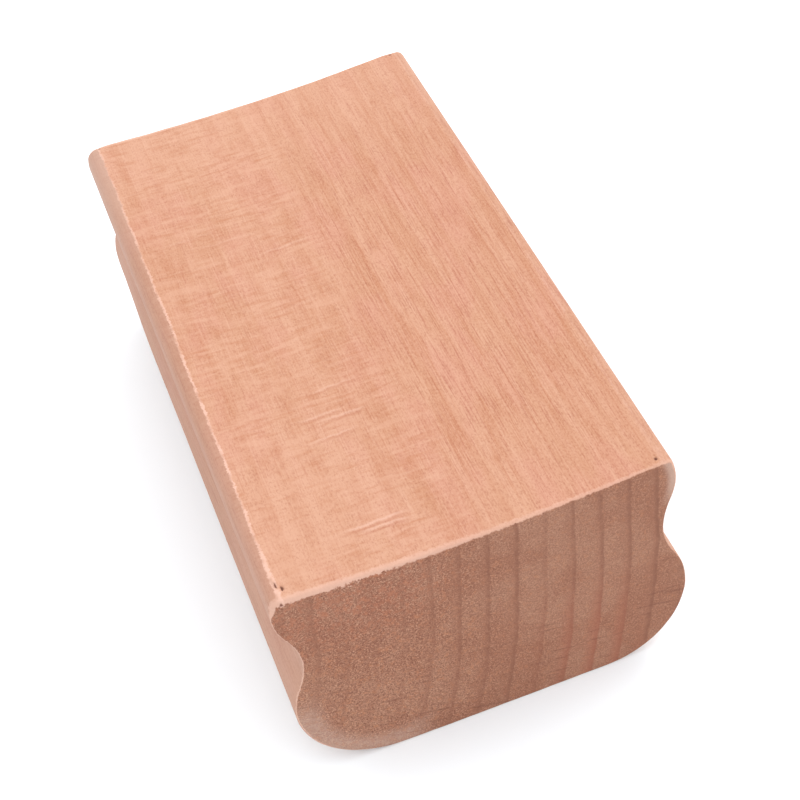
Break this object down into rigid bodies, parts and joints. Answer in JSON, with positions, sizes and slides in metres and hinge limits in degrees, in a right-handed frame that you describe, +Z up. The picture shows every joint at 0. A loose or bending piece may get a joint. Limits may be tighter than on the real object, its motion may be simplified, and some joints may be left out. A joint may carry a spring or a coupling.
{
  "type": "fingerboard radius sanding block",
  "caption": "Solid hardwood hand block with a shallow hollow radius face along its length, rounded finger grooves along both sides and a flat palm side with rounded corners.",
  "frame": {"origin": "centre of the flat palm side that the block lies on", "axes": "+Y along the block and its grain, +Z up from the palm side to the hollow radius face, X across the block"},
  "size_m": [0.05, 0.095, 0.032],
  "materials": {
    "wood": "fine-sanded bare hardwood, straight grain along the length, darker end grain"
  },
  "bodies": {
    "root": {"sanding_block": "wood"}
  },
  "joints": []
}
